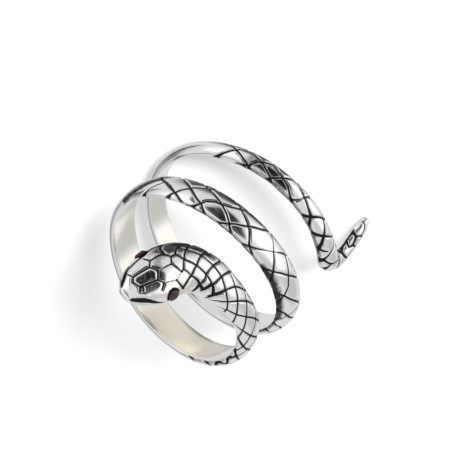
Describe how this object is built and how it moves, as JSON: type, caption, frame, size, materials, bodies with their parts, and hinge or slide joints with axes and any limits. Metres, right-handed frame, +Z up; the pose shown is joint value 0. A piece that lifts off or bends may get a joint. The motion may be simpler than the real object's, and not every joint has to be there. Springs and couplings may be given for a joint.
{
  "type": "snake wrap ring",
  "caption": "Finger ring shaped as a coiled snake, a domed scale-carved band wound round the finger, with a gem-eyed head and a hooked tail.",
  "frame": {"origin": "bottom centre of the ring as it lies on its side", "axes": "+Z up; the finger axis lies in the XZ plane, leaning 24.8 degrees from upright towards +X, with the head at its upper end; -Y is the side with the head"},
  "size_m": [0.0232, 0.0202, 0.0228],
  "materials": {
    "silver": "polished silver with blackened grooves",
    "stone": "faceted dark plum gem"
  },
  "bodies": {
    "root": {"snake_coil": "silver", "eye_left": "stone", "eye_right": "stone"}
  },
  "joints": []
}
